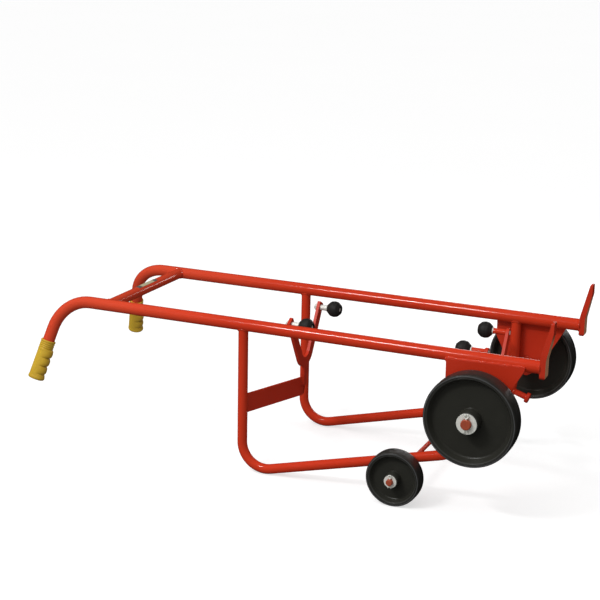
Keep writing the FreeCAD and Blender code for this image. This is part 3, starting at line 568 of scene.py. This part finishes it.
bm = bmesh.new()
for k, (side, s) in enumerate(SIDES):
    y0 = s * RAIL_Y
    # leg and riser tops meet the underside of the rail
    for j, xb in enumerate((LEG_X, RISER_X)):
        ring = []
        for a in (2 * math.pi * q / 120 for q in range(120)):
            dx, dy = LOOP_R * math.cos(a), LOOP_R * math.sin(a)
            ring.append(Vector((xb + dx, y0 + dy, RAIL_Z - math.sqrt(RAIL_R ** 2 - dy ** 2))))
        bead_into(bm, ring, 0.0022, True, 10 + 4 * k + j)
    # cross bar ends meet the inner side of the rail
    for j, (xb, rb) in enumerate(((BAR_X, BAR_R),)):
        ring = []
        for a in (2 * math.pi * q / 120 for q in range(120)):
            dx, dz = rb * math.cos(a), rb * math.sin(a)
            ring.append(Vector((xb + dx, s * (RAIL_Y - math.sqrt(RAIL_R ** 2 - dz ** 2)), RAIL_Z + dz)))
        bead_into(bm, ring, 0.0021, True, 30 + 4 * k + j)
    # toe plate on the end of the rail
    bead_into(bm, circle(Vector((TOE_X - 0.0004, y0, RAIL_Z)), Y, Z, RAIL_R + 0.0004), 0.0021, True, 50 + k)
new_piece("weld_beads_tubes", bm, weld, "frame")

bm = bmesh.new()
for k, (side, s) in enumerate(SIDES):
    # seam along the top edge of the axle plate
    y_seam = s * (RAIL_Y + RAIL_R + 0.0008)
    for j, (d_a, d_b, r_b) in enumerate(((0.2165, 0.2430, 0.0040), (0.3020, 0.3200, 0.0037), (0.3640, 0.3790, 0.0036),
                                         (0.2165, 0.4085, 0.0025))):
        seam = []
        for q in range(20):
            dx = d_a + (d_b - d_a) * q / 19
            f = (dx - 0.214) / 0.197
            seam.append(Vector((BED_X + dx, y_seam, RAIL_Z - 0.0040 * (1 - f) + 0.0002)))
        bead_into(bm, seam, r_b, False, 160 + 4 * k + j, ripple=0.0062 if j < 3 else 0.0046)
    # axle in its plate, inner face
    bead_into(bm, circle(Vector((AXLE_X, s * (RAIL_Y + RAIL_R), AXLE_Z)), X, Z, AXLE_R + 0.0008),
              0.0022, True, 64 + k)
    # strap end on the leg tube, front and back of the flat bar
    d = Vector((0.075, 0.200 * -s, 0)).normalized()
    nrm = Vector((-d.y, d.x, 0))
    for j, off in enumerate((-0.003, 0.003)):
        p0 = Vector((BED_X - 0.321, s * RAIL_Y, 0)) + nrm * off - Vector((LEG_X, s * RAIL_Y, 0))
        b = p0.dot(d)
        t = -b + math.sqrt(max(0.0, b * b - (p0.dot(p0) - LOOP_R ** 2)))
        foot = p0 + d * t + Vector((LEG_X, s * RAIL_Y, 0))
        bead_into(bm, [Vector((foot.x, foot.y, 0.182 - 0.0235)), Vector((foot.x, foot.y, 0.182)),
                       Vector((foot.x, foot.y, 0.182 + 0.0235))], 0.0021, False, 70 + 4 * k + j)
    # sleeve web under the runner
    rise = math.radians(14.5)
    rd = Vector((math.cos(rise), 0, math.sin(rise)))
    up = Vector((-math.sin(rise), 0, math.cos(rise)))
    rz = 0.1060
    for j, (yy, drop) in enumerate(((0.1910, 0.00896), (0.2040, 0.01205))):
        base = Vector((SMALL_X, s * yy, rz)) - up * drop
        bead_into(bm, [base - rd * 0.0155, base, base + rd * 0.0155], 0.0018, False, 80 + 4 * k + j)
new_piece("weld_beads_plates", bm, weld, "frame")

bm = bmesh.new()
# rear fork: its tongue on the bow of the strap
x_face = FORK_REAR_X - FORK_HALF
for j, yy in enumerate((-0.0093, 0.0093)):
    bead_into(bm, [Vector((x_face - 0.0006, yy, 0.1865)), Vector((x_face - 0.0006, yy, 0.1955)),
                   Vector((x_face - 0.0006, yy, 0.2045))], 0.0020, False, 100 + j)
bead_into(bm, [Vector((x_face - 0.0008, -0.0075, 0.2072)), Vector((x_face - 0.0004, 0.0, 0.2072)),
               Vector((x_face - 0.0008, 0.0075, 0.2072))], 0.0020, False, 104)
# front fork: its seat block on the fork and along the back of the main axle
x_face = FORK_FRONT_X + FORK_HALF
x_line = AXLE_X - math.sqrt(AXLE_R ** 2 - 0.009 ** 2)
for j, q in enumerate((-1.0, 1.0)):
    bead_into(bm, [Vector((x_face + 0.0003, q * 0.0303, 0.2595)), Vector((x_face + 0.0003, q * 0.0303, 0.2670)),
                   Vector((x_face + 0.0003, q * 0.0303, 0.2745))], 0.0019, False, 110 + j)
    zz = AXLE_Z + q * 0.0093
    bead_into(bm, [Vector((x_line - 0.0004, -0.0280, zz)), Vector((x_line - 0.0004, 0.0, zz)),
                   Vector((x_line - 0.0004, 0.0280, zz))], 0.0020, False, 114 + j)
    # boss on the fork arm
    bead_into(bm, circle(Vector((FORK_FRONT_X - FORK_HALF - 0.0003, q * ROLLER_Y, ROLLER_Z)), Y, Z, 0.0078),
              0.0016, True, 118 + j)
    # lashing stud on the outside of the riser bend
    bend = Vector((RISER_X - 0.090, q * RAIL_Y, 0.2191))
    out = Vector((math.cos(math.radians(-18.8)), 0, math.sin(math.radians(-18.8))))
    along = Vector((-out.z, 0, out.x))
    ring = []
    for ang in (2 * math.pi * k / 96 for k in range(96)):
        cy, ca = 0.0082 * math.cos(ang), 0.0082 * math.sin(ang)
        ring.append(bend + out * (0.090 + math.sqrt(LOOP_R ** 2 - cy ** 2) + 0.0003) + Y * cy + along * ca)
    bead_into(bm, ring, 0.0019, True, 122 + j)
new_piece("weld_beads_forks", bm, weld, "frame")

# ---------------------------------------------------------------------------
# hand grips: one moulded sleeve each, ribbed collar, four finger bumps, rolled end
# ---------------------------------------------------------------------------
TURN, SPLAY = math.radians(76.4), math.radians(17.4)
G_LEN, G_R = 0.110, 0.0195
G_BUMPS = ((0.0350, 0.0112), (0.0585, 0.0112), (0.0820, 0.0112), (0.1020, 0.0092))


def smooth_step(a, b, x):
    t = min(1.0, max(0.0, (x - a) / (b - a)))
    return t * t * (3 - 2 * t)


def grip_profile(d):
    """Radius of the plain sleeve at a distance from its top."""
    r = G_R
    if d < 0.0275:
        # collar: a lip, then fine ribs that die out
        r += 0.0004 * (1 - smooth_step(0.0230, 0.0270, d))
        if 0.0040 < d < 0.0265:
            fade = smooth_step(0.0040, 0.0050, d) * (1 - smooth_step(0.0240, 0.0265, d))
            r -= 0.00110 * (0.5 - 0.5 * math.cos((d - 0.0040) / 0.0052 * 2 * math.pi)) * fade
    else:
        r -= 0.0004 * smooth_step(0.0275, 0.0290, d)
    if d < 0.0016:
        r -= 0.0014 * (1 - math.sqrt(max(0.0, 1 - (1 - d / 0.0016) ** 2)))
    r += 0.0008 * smooth_step(G_LEN - 0.0105, G_LEN - 0.0070, d)
    if d > G_LEN - 0.0045:
        t = (d - (G_LEN - 0.0045)) / 0.0045
        r -= 0.0040 * (1 - math.sqrt(max(0.0, 1 - t * t)))
    return r


def grip_bump(d, phi):
    """Extra radius of the finger bumps, and how deep in a valley the point lies."""
    face = max(0.0, math.cos(phi)) ** 2.6
    h = 0.0
    for c, w in G_BUMPS:
        q = abs(d - c) / w
        if q < 1:
            h = max(h, math.sqrt(1 - q * q))
    inside = smooth_step(0.027, 0.034, d) * (1 - smooth_step(0.100, 0.104, d))
    return (0.0060 * h - 0.0002 * inside * (1 - h)) * face, inside * face * (1 - h)


for side, s in SIDES:
    G_DIR = Vector((-math.cos(TURN), s * math.sin(TURN) * math.sin(SPLAY), -math.sin(TURN) * math.cos(SPLAY)))
    G_FRONT = (X - G_DIR * G_DIR.x).normalized()
    G_SIDE = G_DIR.cross(G_FRONT)
    tip = Vector((BED_X - 0.862, s * RAIL_Y, RAIL_Z)) + G_DIR * 0.224
    top = tip - G_DIR * (G_LEN - 0.005)
    bm = bmesh.new()
    valley = {}
    seg = 80
    stations = [0.0, 0.0003, 0.0008, 0.0016]
    d = 0.0022
    while d < G_LEN - 0.005:
        stations.append(d)
        d += 0.0007
    stations += [G_LEN - 0.0045 + 0.0045 * q for q in (0.0, 0.25, 0.45, 0.62, 0.76, 0.87, 0.95, 1.0)]
    rings = []
    # bore wall first, from its blind end up to the lip, then out and down the outside
    for d in (G_LEN - 0.0052, 0.06, 0.004, 0.0006):
        rings.append([bm.verts.new(top + G_DIR * d + (G_FRONT * math.cos(a) + G_SIDE * math.sin(a)) * 0.01595)
                      for a in (2 * math.pi * k / seg for k in range(seg))])
    rings.append([bm.verts.new(top + (G_FRONT * math.cos(a) + G_SIDE * math.sin(a)) * 0.0165)
                  for a in (2 * math.pi * k / seg for k in range(seg))])
    for d in stations:
        ring = []
        for k in range(seg):
            a = 2 * math.pi * k / seg
            b, v = grip_bump(d, a)
            r = grip_profile(d) + b
            vert = bm.verts.new(top + G_DIR * d + (G_FRONT * math.cos(a) + G_SIDE * math.sin(a)) * r)
            valley[vert] = v
            ring.append(vert)
        rings.append(ring)
    for a, b in zip(rings, rings[1:]):
        for k in range(seg):
            bm.faces.new((a[k], a[(k + 1) % seg], b[(k + 1) % seg], b[k]))
    bore_end = bm.verts.new(top + G_DIR * (G_LEN - 0.0052))
    # shallow moulded dish in the closed end
    dish = [bm.verts.new(top + G_DIR * (G_LEN - 0.0006) + (G_FRONT * math.cos(a) + G_SIDE * math.sin(a)) * 0.0115)
            for a in (2 * math.pi * k / seg for k in range(seg))]
    end = bm.verts.new(top + G_DIR * (G_LEN - 0.0010))
    for k in range(seg):
        bm.faces.new((rings[-1][k], rings[-1][(k + 1) % seg], dish[(k + 1) % seg], dish[k]))
        bm.faces.new((dish[k], dish[(k + 1) % seg], end))
        bm.faces.new((rings[0][(k + 1) % seg], rings[0][k], bore_end))
    bm.verts.index_update()
    values = [valley.get(v, 0.0) for v in bm.verts]
    piece = new_piece("grip_sleeve_" + side, bm, vinyl, "frame")
    attr = piece.data.attributes.new("valley", "FLOAT", "POINT")
    attr.data.foreach_set("value", values)
    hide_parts("grip_" + side)

# ---------------------------------------------------------------------------
# floor, light, camera
# ---------------------------------------------------------------------------
floor_mat = Mat("floor_pale")
floor_mat.set("Base Color", floor_mat.mix(floor_mat.noise(0.7, 2.0), (0.55, 0.55, 0.55), (0.57, 0.57, 0.57)))
floor_mat.bsdf.inputs["Roughness"].default_value = 0.7
floor_mat.bsdf.inputs["Specular IOR Level"].default_value = 0.15
floor_mat.bsdf.inputs["Emission Color"].default_value = (1.0, 1.0, 1.0, 1.0)
floor_mat.bsdf.inputs["Emission Strength"].default_value = 0.60
bm = bmesh.new()
bmesh.ops.create_grid(bm, x_segments=2, y_segments=2, size=45.0)
mesh = bpy.data.meshes.new("floor")
bm.to_mesh(mesh)
bm.free()
floor = bpy.data.objects.new("floor", mesh)
mesh.materials.append(floor_mat.mat)
scene.collection.objects.link(floor)
# the pale floor is lit like a light table but throws no light up at the frame
floor.visible_diffuse = False
floor.visible_glossy = False

# a plain white wall far off all round, so that low views have no horizon
wall_mat = Mat("backdrop_white")
wall_mat.set("Base Color", (0.0, 0.0, 0.0, 1.0))
wall_mat.bsdf.inputs["Roughness"].default_value = 1.0
wall_mat.bsdf.inputs["Specular IOR Level"].default_value = 0.0
wall_mat.bsdf.inputs["Emission Color"].default_value = (1.0, 1.0, 1.0, 1.0)
wall_mat.bsdf.inputs["Emission Strength"].default_value = 1.0
bm = bmesh.new()
bmesh.ops.create_cone(bm, cap_ends=False, segments=96, radius1=40.0, radius2=40.0, depth=60.0)
bmesh.ops.translate(bm, verts=bm.verts[:], vec=(0.0, 0.0, 29.9))
mesh = bpy.data.meshes.new("backdrop")
bm.to_mesh(mesh)
bm.free()
wall = bpy.data.objects.new("backdrop", mesh)
mesh.materials.append(wall_mat.mat)
scene.collection.objects.link(wall)
wall.visible_diffuse = False
wall.visible_glossy = False
wall.visible_transmission = False
wall.visible_shadow = False

world = bpy.data.worlds.new("studio")
scene.world = world
world.use_nodes = True
bg = world.node_tree.nodes["Background"]
bg.inputs["Color"].default_value = (1.0, 1.0, 1.0, 1.0)
bg.inputs["Strength"].default_value = 0.30
world.cycles_visibility.glossy = False


def area(name, loc, target, size_x, size_y, power, colour=(1, 1, 1)):
    lamp = bpy.data.lights.new(name, "AREA")
    lamp.shape = "RECTANGLE"
    lamp.size, lamp.size_y = size_x, size_y
    lamp.energy = power
    lamp.color = colour
    obj = bpy.data.objects.new(name, lamp)
    obj.location = loc
    obj.rotation_mode = "QUATERNION"
    obj.rotation_quaternion = (Vector(target) - Vector(loc)).to_track_quat("-Z", "Y")
    scene.collection.objects.link(obj)
    return obj


area("window_front_left", (-0.85, -2.2, 2.5), (-0.05, -0.2, 0.39), 0.85, 0.20, 35)
area("window_back", (0.30, 3.2, 0.95), (0.0, 0.2, 0.35), 2.4, 0.30, 16)

sun_data = bpy.data.lights.new("sun_soft", "SUN")
sun_data.energy = 1.62
sun_data.angle = math.radians(80)
sun = bpy.data.objects.new("sun_soft", sun_data)
sun.rotation_euler = (math.radians(26), math.radians(-20), 0)
sun.visible_glossy = False
scene.collection.objects.link(sun)

cam_data = bpy.data.cameras.new("camera")
cam = bpy.data.objects.new("camera", cam_data)
scene.collection.objects.link(cam)
cam_data.sensor_width = 36.0
cam_data.lens = 85.70
cam_data.clip_end = 200.0
rot = Matrix(((0.915247, -0.122934, 0.383680),
              (0.402396, 0.231641, -0.885675),
              (0.020004, 0.965002, 0.261477)))
cam.matrix_world = Matrix.Translation((1.41819, -3.33545, 1.40193)) @ rot.to_4x4()
scene.camera = cam

scene.view_settings.view_transform = "Standard"
scene.view_settings.look = "None"
scene.view_settings.exposure = 0.0
